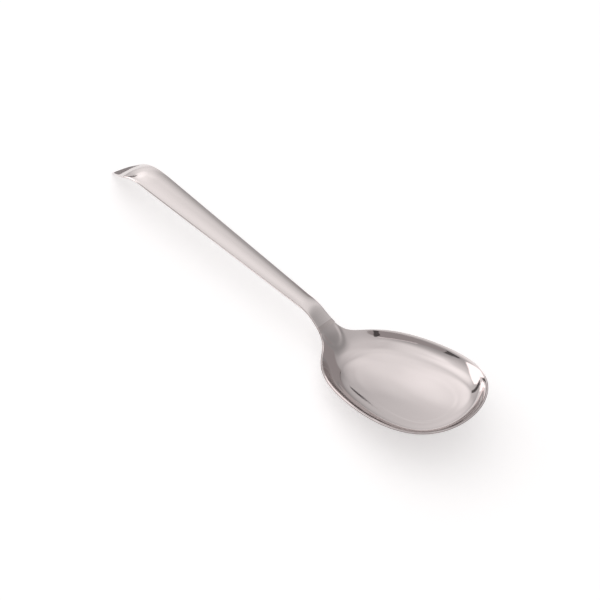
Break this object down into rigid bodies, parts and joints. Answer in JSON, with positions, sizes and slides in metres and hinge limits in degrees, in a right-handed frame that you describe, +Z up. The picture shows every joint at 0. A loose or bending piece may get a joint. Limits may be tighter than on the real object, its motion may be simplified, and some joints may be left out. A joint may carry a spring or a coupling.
{
  "type": "pizza sauce spoon",
  "caption": "Stainless steel sauce spoon: egg-shaped flat-floored bowl, steep neck, long tapered handle ending in a down-turned hook; for ladling and spreading pizza sauce.",
  "frame": {"origin": "middle of the resting spoon's footprint box, on the table", "axes": "+X towards the tip of the bowl, +Z up from the table, the spoon lying as it comes to rest: on the heel of its bowl and the end of its hook"},
  "size_m": [0.2976, 0.0732, 0.0298],
  "materials": {
    "polished_steel": "mirror-polished stainless steel",
    "satin_steel": "fine satin stainless steel, buffed lengthwise",
    "ground_weld": "weld ground flush and buffed"
  },
  "bodies": {
    "root": {"bowl": "polished_steel", "handle": "satin_steel", "neck_weld": "ground_weld"}
  },
  "joints": []
}
